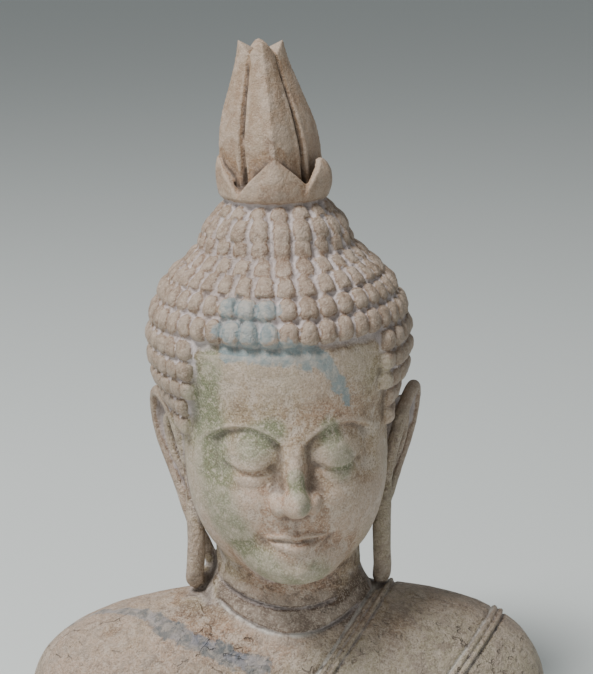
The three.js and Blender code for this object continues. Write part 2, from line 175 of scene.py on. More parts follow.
# Feature lines of the face: each gives a height over the distance from the middle
def brow_line(x):
    arch = ((np.clip(x, 5 * fw, 46 * fw) - 24 * fw) / (20 * fw)) ** 2
    return brow_z + 1.2 * fh - 7.6 * fh * arch


def lid_line(x):
    return lid_z - 3.2 * fh * np.maximum(0, 1 - ((x - 21 * fw) / (12 * fw)) ** 2)


def mouth_line(x):
    return mouth_z + 1.7 * fh * np.minimum(x / (19 * fw), 1) ** 2.2 - 0.5 * fh * hump(x, 2.5 * fw)


def dome(x, z, cx, cz, a, c, rise, fall=0.6):
    far = ((x - cx) / a) ** 2 + ((z - cz) / c) ** 2
    return rise * np.maximum(1 - far, 0) ** fall


def eye_relief(x, z):
    below = brow_line(x) - z
    across = ease(3.5 * fw, 9 * fw, x) * (1 - ease(33 * fw, 46 * fw, x))
    socket = (1 - np.exp(-np.maximum(below, 0) / 2.6)) * (1 - ease(12 * fh, 30 * fh, below))
    ball = dome(x, z, 21.2 * fw, lid_z + 1.4 * fh, 15 * fw, 12 * fh, 6, 1.15)
    under = lid_line(x) - z
    slit = (1 - ease(10.5 * fw, 13 * fw, np.abs(x - 21 * fw))) * ease(0, 0.7 * fh, under)
    step = slit * (1 - ease(1.5 * fh, 6 * fh, under))
    lower_lid = 0.5 * hump(under - 3 * fh, 1.2 * fh) * slit
    fold_z = lid_z + 6.5 * fh * (1 - ((x - 20 * fw) / (17 * fw)) ** 2)
    fold = -0.5 * hump(z - fold_z, 0.7 * fh) * (1 - ease(9 * fw, 14 * fw, np.abs(x - 21 * fw)))
    return -5 * socket * across + 0.5 * across * hump(below, 1.2) + ball - 2.1 * step + lower_lid + fold


def nose_relief(x, z):
    up = np.clip((z - nose_z) / (brow_z - 5 * fh - nose_z), 0, 1)
    width = mix(10.5, 7, up) * fw
    height = mix(15, 2.8, up**0.9) * (1 - ease(brow_z - 9 * fh, brow_z + 1 * fh, z))
    foot = ease(nose_z - 0.8 * fh, nose_z + 2.4 * fh, z)
    bridge = height * foot * (1 - ease(0.1, 1, x / width))
    tip = dome(x, z, 0, nose_z + 5.4 * fh, 8.4 * fw, 7.2 * fh, 15.5)
    wing = dome(x, z, 7.8 * fw, nose_z + 4.2 * fh, 4.9 * fw, 5.2 * fh, 9)
    return soft_max(soft_max(bridge, tip, 5), wing, 5)


def mouth_relief(x, z):
    line = mouth_line(x)
    upper = 4.2 * fh * np.maximum(0, 1 - (x / (19 * fw)) ** 1.8) - 0.8 * fh * hump(x, 2.6 * fw)
    lower = 5.4 * fh * np.maximum(0, 1 - (x / (16 * fw)) ** 2)
    rise = np.where(z > line, (z - line) / np.maximum(upper, 0.1), (line - z) / np.maximum(lower, 0.1))
    fade = 1 - ease(12 * fw, 19 * fw, x)
    lip = 2.4 * fade * np.maximum(np.sin(pi * np.clip(rise, 0, 1) ** 0.8), 0) ** 0.85
    groove = -1.2 * hump(z - line, 0.9 * fh) * (1 - ease(16.5 * fw, 20.5 * fw, x))
    return 3.4 * hump(np.hypot(x / (23 * fw), (z - mouth_z) / (13 * fh)), 1) + lip + groove


def face_relief(x, z):
    side = np.abs(x)
    philtrum = -0.6 * hump(side, 1.6 * fw) * hump(z - (nose_z - 4 * fh), 3 * fh)
    chin = 2.6 * hump(np.hypot(side / (13 * fw), (z - chin_z - 8 * fh) / (7 * fh)), 1)
    chin_fold = -1.6 * hump(z - (mouth_z - 9.5 * fh), 2.6 * fh) * hump(side, 14 * fw)
    cheek = 2.6 * hump(np.hypot((side - 25 * fw) / (13 * fw), (z - nose_z - 3 * fh) / (13 * fh)), 1)
    features = eye_relief(side, z) + nose_relief(side, z) + mouth_relief(side, z)
    return features + philtrum + chin + chin_fold + cheek


def level_z(level, angle):
    """Rows tilt: neck rings hang lower in front, and the hair rows dip over the brow."""
    turn = wrapped(angle)
    neck_tilt = 16 * hump(level - (chin_z - 22), 20)
    hair_dip = 2.5 * ease(hairline_z - 40, hairline_z, level) * (1 - ease(hairline_z, seat_z, level))
    return level + neck_tilt * (1 - np.cos(turn)) / 2 - hair_dip * hump(turn, radians(34))


def neck_cut(cut, x, y, z):
    """Height over a neck cut, which hangs like a loose cord, and how strongly it shows here."""
    low, sag, right_end = cut
    off = z - low - sag * (x / neck_radius) ** 2
    left_fade = 1 - ease(0.85 * neck_radius, 1.1 * neck_radius, -x)
    return off, left_fade * (1 - ease(right_end - 6, right_end + 6, x)) * (y < 0)


def neck_creases(x, y, z):
    """Two fine cuts across the front of the neck, with soft folds over them."""
    rise = 0
    for cut in neck_cuts:
        off, share = neck_cut(cut, x, y, z)
        rise = rise + share * (0.8 * hump(off - 3.5, 3) - neck_crease_depth * np.exp(-np.abs(off) / 0.9))
    return rise


def robe_edge(edge, x, y, z):
    """Distance from the middle of an edge band, to the wearer's left."""
    foot, slope = edge
    return (x - foot - z / slope - robe_turn * y) / np.sqrt(1 + 1 / slope**2 + robe_turn**2)


def chalk_lines(x, y, z):
    """Pale dust along the lower neck cut and beside the robe's edge bands."""
    off, share = neck_cut(neck_cuts[1], x, y, z)
    line = share * hump(off + 1.3, 0.8) * ease(22, -8, x)
    for edge in robe_edges:
        line = np.maximum(line, 0.8 * hump(robe_edge(edge, x, y, z) + robe_band_width / 2 + 1, 0.7))
    return line * (1 - ease(chin_z - 8, chin_z - 2, z))


def robe_rise(x, y, z):
    """Two raised, double-lined edge bands, and thin cloth from the first to the covered shoulder."""
    rise = 0
    for edge in robe_edges:
        off = robe_edge(edge, x, y, z)
        band = 1 - ease(robe_band_width / 2 - 0.2, robe_band_width / 2 + 0.5, np.abs(off))
        sides = hump(np.abs(off) - robe_band_width / 2 - 0.9, 0.7)
        rise = rise + band * (1.4 - 1.2 * hump(off, 0.8)) - 0.8 * sides
    cloth = 0.5 * ease(-1, 1, robe_edge(robe_edges[0], x, y, z))
    return (rise + cloth) * (1 - ease(chin_z - 8, chin_z - 2, z))


def lean(points):
    """The head leans to one side, more and more above the neck."""
    x, y, z = points[..., 0], points[..., 1], points[..., 2]
    share = ease(lean_pivot_z - 15, lean_pivot_z + 35, z) * sin(head_lean)
    return np.stack([x - (z - lean_pivot_z) * share, y, z + x * share], axis=-1)


def skin(angle, level):
    """Points of the bare stone before the head's lean."""
    z = level_z(level, angle)
    radius = smooth_radius(angle, z)
    x = radius * np.sin(angle)
    y = -radius * np.cos(angle)
    front = ease(10, 30, -y) * ease(chin_z - 4, chin_z + 5, z) * (1 - ease(hairline_z - 8, hairline_z, z))
    return np.stack([x, y - front * face_relief(x, z), z], axis=-1)


def skin_out(angle, level, rise):
    here = skin(angle, level)
    across = skin(angle + 0.01, level) - here
    up = skin(angle, level + 0.5) - here
    normal = np.cross(across, up)
    normal /= np.linalg.norm(normal, axis=-1, keepdims=True)
    return here + normal * rise[..., None]


# Closed solids, gathered as vertices and faces before they are merged into one skin
class Clay:
    def __init__(self):
        self.points = []
        self.faces = []
        self.count = 0

    def loft(self, grid, ends):
        """A skin over rows by columns of points, closed round its columns and capped at both ends."""
        rows, columns = grid.shape[:2]
        start = self.count
        index = start + np.arange(rows * columns).reshape(rows, columns)
        following = np.roll(index, -1, axis=1)
        quads = np.stack([index[:-1], following[:-1], following[1:], index[1:]], axis=-1)
        self.faces += quads.reshape(-1, 4).tolist()
        low, high = start + rows * columns, start + rows * columns + 1
        self.faces += [(b, a, low) for a, b in zip(index[0], following[0])]
        self.faces += [(a, b, high) for a, b in zip(index[-1], following[-1])]
        self.points.append(grid.reshape(-1, 3))
        self.points.append(np.array(ends, dtype=float))
        self.count = high + 1

    def mesh(self, name):
        mesh = bpy.data.meshes.new(name)
        mesh.from_pydata((np.concatenate(self.points) * MM).tolist(), [], self.faces)
        mesh.validate()
        return mesh


def add_body(clay):
    columns = 700
    turns = np.arange(columns) / columns
    torso_turn = 2 * pi * turns
    spans = (
        (0, 45, 1.5),
        (45, 60, 0.8),
        (60, 72, 0.3),
        (72, chin_z + 6, 0.8),
        (chin_z + 6, hairline_z + 26, 0.6),
    )
    levels = np.concatenate([np.arange(low, high, step) for low, high, step in spans])
    wide = smooth_radius(np.array([pi / 2]), levels[:, None])
    deep = smooth_radius(np.array([0.0]), levels[:, None])
    share = 1 - ease(chin_z - 20, chin_z + 4, levels)[:, None]
    stretch = mix(1, wide / deep, share)
    angle = np.arctan2(stretch * np.sin(torso_turn), np.cos(torso_turn)) % (2 * pi)
    grid = lean(skin(angle, np.broadcast_to(levels[:, None], angle.shape)))
    grid[0, :, 2] = 0
    clay.loft(grid, [(0, 0, 0), lean(np.array([0.0, 0, hairline_z + 34]))])


def bead_rows():
    """Lowest, highest and middle level of each row of beads, and how many stand round the head."""
    below = round((hairline_z - nape_z) / bead_pitch)
    edges = [hairline_z - (hairline_z - nape_z) * i / below for i in range(below, 0, -1)]
    side = np.array(pi / 2)
    level = hairline_z
    size = bead_pitch * 1.2
    while level < seat_z - 2:
        edges.append(level)
        first = level
        while np.hypot(smooth_radius(side, level) - smooth_radius(side, first), level - first) < size:
            level += 0.25
        size = max(bead_pitch * 0.98, size * 0.93)
    edges.append(min(level, seat_z + 2))
    rows = []
    for low, high in zip(edges, edges[1:]):
        middle = (low + high) / 2
        depth = smooth_radius(np.array(0.0), middle) + smooth_radius(np.array(pi), middle)
        around = pi * (smooth_radius(side, middle) + depth / 2)
        count = lower_beads if middle < hairline_z + 12 else round(float(around) / bead_pitch)
        rows.append((low, high, middle, count))
    return rows


def has_hair(angle, level):
    off = np.abs(wrapped(angle))
    edge = np.radians(mix(49, 38, ease(hairline_z - 2.2 * bead_pitch, hairline_z, level)))
    temple = hairline_z - 46 * ease(radians(38), radians(62), off)
    low = np.where(off > radians(100), nape_z, temple)
    return (level > hairline_z) | ((off >= edge) & (level > low))


def add_hair(clay):
    """Rows of rounded beads over a thin cap, sunk into the head where there is no hair."""
    samples = 840
    steps = 12
    angle = 2 * pi * np.arange(samples) / samples
    grid = []
    lower_rows = round((hairline_z - nape_z) / bead_pitch)
    for row, (low, high, middle, count) in enumerate(bead_rows()):
        place = angle * count / (2 * pi)
        bead = np.round(place) % count
        off_side = 2 * (place - np.round(place))
        grown = has_hair(2 * pi * bead / count, middle)
        # A chance between 0 and 1 that stays the same for the same bead
        chance = np.abs(np.sin(bead * 12.9898 + row * 78.233) * 43758.5453) % 1
        size = 0.86 + 0.16 * chance
        for step in range(steps):
            off_up = 2 * (step + 0.5) / steps - 1
            joined = 0.96 if row < lower_rows + 2 else 0.66
            far = (np.abs(off_side * 0.94) ** 3 + abs(off_up * joined) ** 3) ** (1 / 3)
            bulge = np.maximum(1 - far**3, 0) ** 0.6
            rise = np.where(grown, hair_thickness - 0.9 + (bead_rise + 0.9) * size * bulge, -7)
            level = np.full(samples, mix(low, high, (step + 0.5) / steps))
            grid.append(skin_out(angle, level, rise))
    ends = lean(np.array([[0.0, 10, nape_z + 12], [0.0, 0, seat_z]]))
    clay.loft(lean(np.array(grid)), ends)


def from_keel(turn):
    """How far a direction is from the nearest petal's keel, 1 in the groove between two petals."""
    return np.abs((turn + pi / 4) % (pi / 2) - pi / 4) / (pi / 4)


def stand(points):
    """Puts the finial on its leaning seat."""
    tilt = head_lean + finial_lean
    x, y, z = points[..., 0], points[..., 1], points[..., 2]
    seat = lean(np.array([0.0, 0, seat_z]))
    return np.stack([x - z * tan(tilt), y, z], axis=-1) + seat


def round_grid(turn, radius, z):
    """Points round the upright axis, turned from the front."""
    turn, radius, z = np.broadcast_arrays(turn, radius, z)
    return np.stack([radius * np.sin(turn), -radius * np.cos(turn), z], axis=-1)


# Sepals of the calyx: turn and half width in degrees, swell of the sides and reach off the bud
sepals = [
    (0, 46, 1.3, 0),
    (62, 30, 1.9, sepal_flare),
    (158, 62, 1.3, 0),
    (-92, 46, 1.3, 0),
]


def add_finial(clay):
    """A lotus bud of four keeled petals in a calyx of four unequal sepals."""
    columns = 256
    rows = 110
    turn = 2 * pi * np.arange(columns)[None, :] / columns
    share = np.linspace(0, 1, rows)[:, None]
    off = from_keel(turn)
    keel = finial_radius * (0.42 + 0.29 * (1 + np.cos(pi * np.clip((share - 0.31) / 0.79, 0, 1))))
    groove = 0.13 * hump(off - 1, 0.07)
    rim = 0.035 * hump(off - 0.84, 0.09)
    crest = 0.03 * hump(off, 0.07)
    radius = keel * (1 - (0.2 - 0.04 * share) * off - groove + rim + crest - 0.03)
    z = finial_height * share * (1 - 0.09 * share * off**1.5)
    bud_ends = np.array([[0, 0, -2.0], [0, 0, finial_height * 0.93]])
    clay.loft(stand(round_grid(turn, radius, z)), stand(bud_ends))
    rings = np.array([(0.8, -8), (0.85, 1), (0.98, 3.2), (1, 4.5), (0.99, 6.5), (0.96, 8), (0.7, 10)])
    collar = round_grid(turn, rings[:, :1] * calyx_radius, rings[:, 1:])
    clay.loft(stand(collar), stand(np.array([[0, 0, -8.0], [0, 0, 10.0]])))
    for sizes in sepals:
        add_sepal(clay, *sizes)


def add_sepal(clay, turn, spread, swell, flare):
    thickness = 3.4
    up = np.linspace(0, 0.97, 24)[:, None]
    across = np.linspace(-1, 1, 25)[None, :]

    def face(u, inset):
        half = radians(spread) * (1 - up**swell) + 0.03
        keel = 2.2 * (1 - np.abs(u)) * (0.4 + 0.6 * np.sin(pi * up)) + 0.5 * hump(np.abs(u) - 0.9, 0.08)
        radius = calyx_radius - 1.2 * up + flare * np.sin(0.8 * pi * up) + keel - inset
        return round_grid(radians(turn) + u * half, radius, 4.2 + (sepal_height - 3.2) * up)

    grid = np.concatenate([face(across, 0), face(-across, thickness)], axis=1)
    ends = [grid[0].mean(axis=0), grid[-1].mean(axis=0) + (0, 0, 0.6)]
    clay.loft(stand(grid), stand(np.array(ends)))


def add_bar(clay, knots):
    """A bar of round section along a curve through knots of (place, radius)."""
    places = np.array([place for place, _ in knots], dtype=float)
    radii = np.array([radius for _, radius in knots], dtype=float)
    padded = np.concatenate([[2 * places[0] - places[1]], places, [2 * places[-1] - places[-2]]])
    spots = []
    sizes = []
    for i in range(len(places) - 1):
        a, b, c, d = padded[i : i + 4]
        for t in np.arange(0, 1, 0.1):
            bend = 2 * a - 5 * b + 4 * c - d
            swing = 3 * b - a - 3 * c + d
            spots.append(0.5 * (2 * b + (c - a) * t + bend * t**2 + swing * t**3))
            sizes.append(mix(radii[i], radii[i + 1], t))
    spots = np.array(spots + [places[-1]])
    sizes = np.array(sizes + [radii[-1]])
    along = np.gradient(spots, axis=0)
    along /= np.linalg.norm(along, axis=1, keepdims=True)
    normal = np.cross(along[0], (0, 0.3, 1))
    sides = 24
    turn = 2 * pi * np.arange(sides) / sides
    grid = []
    for spot, size, tangent in zip(spots, sizes, along):
        normal = normal - tangent * normal.dot(tangent)
        normal /= np.linalg.norm(normal)
        other = np.cross(tangent, normal)
        grid.append(spot + size * (np.cos(turn)[:, None] * normal + np.sin(turn)[:, None] * other))
    ends = [spots[0] - along[0] * sizes[0] * 0.5, spots[-1] + along[-1] * sizes[-1] * 0.5]
    clay.loft(np.array(grid), ends)


# Outer and rear edge of the ear over a share of its length, from the lobe's foot up
def ear_edge(share):
    return mix(lobe_spread, ear_spread, ease(0.25, 0.9, share))


def ear_rear(share):
    return mix(7, 20, ease(0.2, 0.8, share)) - 7 * ease(0.85, 1, share)


def add_ear(clay, side, twist):
    """A rim round a hollowed plate that flares from the head, and a long lobe slit into two bands."""
    foot_z = chin_z - 15
    rim = ear_rim_radius
    lobe = lobe_radius
    inner = lobe_spread - lobe

    def at(out, back, share):
        return np.array([side * out, back, foot_z + ear_length * share])

    def on_edge(share, inset):
        return at(ear_edge(share) - inset, ear_rear(share) - 0.4 * inset, share)

    front_top = [
        (at(50, -3, 0.6), rim),
        (at(54, -4, 0.76), rim),
        (at(59, 0, 0.9), rim),
        (at(64, 8, 0.965), rim),
    ]
    rear_edge = [(on_edge(share, rim), rim) for share in (0.93, 0.82, 0.7, 0.58, 0.46)]
    rear_band = [
        (at(inner, 8.5, 0.3), rim),
        (at(inner - twist * 0.7, 9, 0.18), rim),
        (at(inner - twist, 8, 0.08), rim),
    ]
    front_band = [
        (at(inner - twist * 0.4, 5, 0.03), lobe * 0.9),
        (at(inner, 0, 0.04), lobe),
        (at(inner, -3, 0.1), lobe),
        (at(inner - 0.6, -4, 0.24), lobe),
        (at(inner, -3, 0.4), lobe),
        (at(inner + 1.2, -2.6, 0.52), rim),
        (at(50.4, -3.2, 0.62), rim),
    ]
    inner_fold = [
        (at(52, 2, 0.86), 2.2),
        (at(60, 9, 0.84), 2.6),
        (at(58, 10, 0.68), 2.6),
        (at(52, 6, 0.55), 2.2),
    ]
    add_bar(clay, front_top + rear_edge + rear_band + front_band)
    add_bar(clay, inner_fold)
    lift = np.array([side * 1.2, -1.8, 0])
    across = np.linspace(0, 1, 12)[:, None]
    hollow = 1.5 * np.sin(pi * across) * lift
    grid = []
    for share in np.linspace(0.46, 0.92, 30):
        outer = on_edge(share, rim)
        root = at(44, -2, share)
        line = mix(root, outer, across)
        ring = np.concatenate([line + lift - hollow, (line - lift)[::-1]])
        grid.append(ring if side > 0 else ring[::-1])
    grid = np.array(grid)
    clay.loft(grid, [grid[0].mean(axis=0), grid[-1].mean(axis=0)])


def carve():
    clay = Clay()
    add_body(clay)
    add_hair(clay)
    add_finial(clay)
    add_ear(clay, -1, lobe_twist)
    add_ear(clay, 1, 0)
    stone = bpy.data.objects.new("carved_bust", clay.mesh("carved_bust"))
    bpy.context.scene.collection.objects.link(stone)
    bpy.context.view_layer.objects.active = stone
    remesh = stone.modifiers.new("one skin", "REMESH")
    remesh.mode = "VOXEL"
    remesh.voxel_size = voxel * MM
    take_result(stone)
    weather(stone.data)
    triangles = sum(len(polygon.vertices) - 2 for polygon in stone.data.polygons)
    thin = stone.modifiers.new("fewer triangles", "DECIMATE")
    thin.ratio = triangle_goal / triangles
    take_result(stone)
    heal(stone.data)
    flatten_foot(stone.data)
    mark_hollows(stone.data)
    mark_strokes(stone.data, "blue", blue_strokes)
    mark_strokes(stone.data, "green", green_strokes)
    mark_strokes(stone.data, "brown", brown_stain_and_shade_strokes)
    stone.data.shade_smooth()
    return stone


def take_result(stone):
    """Replaces the object's mesh with what its modifiers make of it."""
    graph = bpy.context.evaluated_depsgraph_get()
    result = bpy.data.meshes.new_from_object(stone.evaluated_get(graph))
    stone.modifiers.clear()
    stone.data = result


def coordinates(mesh):
    places = np.empty(len(mesh.vertices) * 3)
    mesh.vertices.foreach_get("co", places)
    return places.reshape(-1, 3)


def normals_of(mesh):
    normals = np.empty(len(mesh.vertices) * 3)
    mesh.vertices.foreach_get("normal", normals)
    return normals.reshape(-1, 3)


def set_coordinates(mesh, places):
    mesh.vertices.foreach_set("co", places.ravel())
    mesh.update()


def wave_noise(points, wavelength, seed):
    """Smooth noise between about -1 and 1, made of a few slanting waves."""
    chance = np.random.default_rng(seed)
    total = np.zeros(len(points))
    waves = 7
    for _ in range(waves):
        direction = chance.normal(size=3)
        direction /= np.linalg.norm(direction)
        stretch = chance.uniform(0.6, 1.6)
        total += np.sin(points @ direction * 2 * pi * stretch / wavelength + chance.uniform(0, 2 * pi))
    return total / (waves / 2)


def weather(mesh):
    """Slight unevenness of hand work, the robe's bands and the neck's cuts."""
    places = coordinates(mesh) / MM
    x, y, z = places.T
    in_hair = ease(hairline_z - 4, hairline_z + 4, z) * (1 - ease(seat_z, seat_z + 4, z))
    push = 0.14 * wave_noise(places, 17, 3) + 0.08 * wave_noise(places, 6, 4) - 0.1
    push += 0.2 * in_hair * (wave_noise(places, 4.2, 5) - 0.5)
    # The arms' sides and the tip of the nose are drawn in, so that they stay inside the solid
    push -= 0.7 * ease(arm_spread - 12, arm_spread, np.abs(x)) + 0.25 * ease(-74, -78, y)
    near_lobe = (z > chin_z - 17) & (np.hypot(np.abs(x) - lobe_spread + lobe_radius, y - 3) < 14)
    push += np.where(near_lobe, 0, robe_rise(x, y, z) + neck_creases(x, y, z))
    set_coordinates(mesh, (places + normals_of(mesh) * push[:, None]) * MM)


def flatten_foot(mesh):
    places = coordinates(mesh)
    places[places[:, 2] < 0.6 * MM, 2] = 0
    set_coordinates(mesh, places)


def neighbours(mesh):
    """A function that averages values over each point's neighbours."""
    edges = np.empty(len(mesh.edges) * 2, dtype=np.int64)
    mesh.edges.foreach_get("vertices", edges)
    a, b = edges.reshape(-1, 2).T
    size = len(mesh.vertices)
    count = np.maximum(np.bincount(a, minlength=size) + np.bincount(b, minlength=size), 1)

    def spread(values):
        if values.ndim > 1:
            return np.stack([spread(column) for column in values.T], axis=1)
        return (np.bincount(a, values[b], size) + np.bincount(b, values[a], size)) / count

    return spread


def heal(mesh):
    """Draws in the few points that stand out of their surroundings as specks."""
    spread = neighbours(mesh)
    for _ in range(3):
        normals = normals_of(mesh)
        around = spread(normals)
        around /= np.maximum(np.linalg.norm(around, axis=1, keepdims=True), 1e-9)
        odd = (normals * around).sum(axis=1) < 0.7
        places = coordinates(mesh)
        places[odd] = spread(places)[odd]
        set_coordinates(mesh, places)


def mark(mesh, name, values):
    layer = mesh.attributes.new(name, "FLOAT", "POINT")
    layer.data.foreach_set("value", np.asarray(values, dtype=np.float32))


def mark_hollows(mesh):
    """Stores how hollow the stone is at each point, where it is coarse, dusty or chalky, and where dirt
    and painted shade darken it.
    """
    places = coordinates(mesh)
    spread = neighbours(mesh)
    smooth = places
    for _ in range(6):
        smooth = spread(smooth)
    hollow = ((smooth - places) * normals_of(mesh)).sum(axis=1) / MM
    for _ in range(2):
        hollow = spread(hollow)
    mark(mesh, "hollow", hollow)
    x, y, z = places.T / MM
    on_finial = z > seat_z + 3
    in_hair = has_hair(np.arctan2(x, -y), z + 2) & (z > nape_z) & ~on_finial
    on_face = (z > chin_z + 4) & (y < -15) & ~in_hair & ~on_finial
    zones = [in_hair, on_face, on_finial]
    coarse = np.select(zones, [0.8, 0.5, 0.6], 1.35)
    dusty = np.select(zones, [1.0, 0.08, 0.1], 0.6)
    # Dirt and painted shade darken the hollows: weights for the hair, face, finial and the rest
    dirt_and_shade_weight = np.select(zones, [0.1, 0.6, 1.0], 0.7)
    for _ in range(3):
        dusty = spread(dusty)
        dirt_and_shade_weight = spread(dirt_and_shade_weight)
    mark(mesh, "hair", spread(in_hair.astype(float)))
    mark(mesh, "coarse", spread(coarse))
    mark(mesh, "chalk", chalk_lines(x, y, z))
    mark(mesh, "dust", dusty * ease(0.0, 0.15, hollow))
    mark(mesh, "dirt_and_shade", dirt_and_shade_weight * ease(0.12, 0.4, hollow))


# Stains, and painted shade on the neck under the chin: strokes of (place, radius), in millimetres on the
# stone
blue_strokes = [
    [
        ((-116, 6, 46), 2),
        ((-97, 3, 57), 2.6),
        ((-85, -7, 61), 3),
        ((-73, -16, 62), 4),
        ((-59, -31, 57), 5),
        ((-28, -46, 47), 4.5),
        ((-18, -48, 45), 5),
    ],
    [
        ((-36, -54, 206), 4),
        ((-20, -61, 206), 6),
        ((-3, -64, 206), 6),
        ((9, -62, 203), 4.5),
        ((19, -59, 190), 3.5),
        ((23, -57, 180), 2.5),
    ],
    [((-34, -57, 217), 6.5), ((-23, -62, 217), 6.5), ((-15, -65, 217), 5)],
    [((-34, -54, 228), 6), ((-13, -61, 227), 5)],
]
green_strokes = [
    [
        ((-42, -50, 200), 8),
        ((-44, -43, 172), 11),
        ((-40, -46, 145), 13),
        ((-33, -51, 120), 12),
        ((-22, -52, 101), 8),
    ],
    [((-22, -58, 160), 9), ((-12, -62, 168), 6)],
    [((-2, -72, 146), 5), ((2, -78, 133), 4)],
    [((14, -60, 168), 6), ((20, -58, 150), 7)],
    [((-18, -57, 100), 11), ((4, -60, 95), 11)],
]
brown_stain_and_shade_strokes = [
    # A brown stroke across the neck under the chin, both a stain and painted shade
    [
        ((-32, -20, 74), 7),
        ((-14, -34, 67), 9),
        ((6, -37, 66), 9.5),
        ((24, -30, 68), 9),
        ((36, -12, 76), 8),
    ],
    [((-15, -26, 275), 2.2), ((-10, -28, 275), 3.4), ((-3, -28, 275), 2)],
    [((-10, -26, 290), 2.5), ((-11, -24, 302), 2.2)],
    [((-60, -40, 40), 2.5), ((-64, -36, 50), 1.5)],
]


def mark_strokes(mesh, name, strokes):
    """Stores the distance to the nearest stroke, as a share of the stroke's radius there."""
    places = coordinates(mesh) / MM
    nearest = np.full(len(places), 9.0)
    for stroke in strokes:
        knots = np.array([[*place, radius] for place, radius in stroke])
        order = np.arange(len(knots))
        for share in np.linspace(0, len(knots) - 1, 12 * (len(knots) - 1) + 1):
            x, y, z, radius = [np.interp(share, order, knots[:, axis]) for axis in range(4)]
            far = np.linalg.norm(places - (x, y, z), axis=1) / radius
            nearest = np.minimum(nearest, far)
    mark(mesh, name, nearest)


class Paint:
    """A material with short names for its nodes."""

    def __init__(self, name):
        self.material = bpy.data.materials.new(name)
        self.material.use_nodes = True
        self.tree = self.material.node_tree
        self.shader = self.tree.nodes["Principled BSDF"]
        coordinate = self.tree.nodes.new("ShaderNodeTexCoord")
        self.place = coordinate.outputs["Object"]

    def link(self, value, socket):
        if isinstance(value, bpy.types.NodeSocket):
            self.tree.links.new(value, socket)
        else:
            socket.default_value = value

    def noise(self, scale, detail=4, roughness=0.55, warp=0.0):
        node = self.tree.nodes.new("ShaderNodeTexNoise")
        node.inputs["Scale"].default_value = scale
        node.inputs["Detail"].default_value = detail
        node.inputs["Roughness"].default_value = roughness
        node.inputs["Distortion"].default_value = warp
        self.link(self.place, node.inputs["Vector"])
        return node.outputs["Fac"]

    def cells(self, scale, feature, warp_scale, warp):
        """Distance in a pattern of cells, bent by noise."""
        bend = self.tree.nodes.new("ShaderNodeTexNoise")
        bend.inputs["Scale"].default_value = warp_scale
        bend.inputs["Detail"].default_value = 4
        self.link(self.place, bend.inputs["Vector"])
        moved = self.tree.nodes.new("ShaderNodeVectorMath")
        moved.operation = "MULTIPLY_ADD"
        moved.inputs[1].default_value = (warp, warp, warp)
        self.link(bend.outputs["Color"], moved.inputs[0])
        self.link(self.place, moved.inputs[2])
        node = self.tree.nodes.new("ShaderNodeTexVoronoi")
        node.feature = feature
        node.inputs["Scale"].default_value = scale
        self.link(moved.outputs["Vector"], node.inputs["Vector"])
        return node.outputs["Distance"]

    def attribute(self, name):
        node = self.tree.nodes.new("ShaderNodeAttribute")
        node.attribute_name = name
        return node.outputs["Fac"]

    def math(self, operation, *values):
        node = self.tree.nodes.new("ShaderNodeMath")
        node.operation = operation
        for value, socket in zip(values, node.inputs):
            self.link(value, socket)
        return node.outputs[0]

    def times(self, first, *others):
        """The product of shares and numbers."""
        for other in others:
            first = self.math("MULTIPLY", first, other)
        return first

    def ramp(self, value, low, high, to_low=0.0, to_high=1.0):
        node = self.tree.nodes.new("ShaderNodeMapRange")
        node.interpolation_type = "SMOOTHSTEP"
        names = ("From Min", "From Max", "To Min", "To Max")
        for name, number in zip(names, (low, high, to_low, to_high)):
            node.inputs[name].default_value = number
        self.link(value, node.inputs["Value"])
        return node.outputs["Result"]

    def blend(self, share, first, second):
        node = self.tree.nodes.new("ShaderNodeMix")
        node.data_type = "RGBA"
        self.link(share, node.inputs["Factor"])
        self.link(first, node.inputs["A"])
        self.link(second, node.inputs["B"])
        return node.outputs["Result"]

    def stroke_share(self, name, edge_noise, reach, soft, strength):
        """A share that falls off at the noisy edge of the marked strokes."""
        ragged = self.math("MULTIPLY_ADD", edge_noise, reach, -reach / 2)
        far = self.math("ADD", self.attribute(name), ragged)
        return self.ramp(far, 1.0 - soft, 1.0 + soft, strength, 0.0)


# Colours of the stone, of what lies on it and of painted shade
rose = (0.42, 0.27, 0.18, 1)
sand = (0.35, 0.3, 0.185, 1)
warm = (0.28, 0.165, 0.095, 1)
tan_brown = (0.21, 0.13, 0.08, 1)
brown = (0.13, 0.08, 0.05, 1)
# Umber for the brown stains and for the painted shade on the neck under the chin
umber = (0.09, 0.055, 0.035, 1)
# Dark brown for dirt and painted shade in the hollows
dark = (0.06, 0.04, 0.027, 1)
green = (0.19, 0.215, 0.115, 1)
slate = (0.09, 0.115, 0.13, 1)
lilac = (0.17, 0.19, 0.235, 1)
pale_blue = (0.19, 0.265, 0.285, 1)
pale = (0.6, 0.5, 0.41, 1)
dust = (0.63, 0.565, 0.555, 1)
chalk = (0.78, 0.74, 0.66, 1)


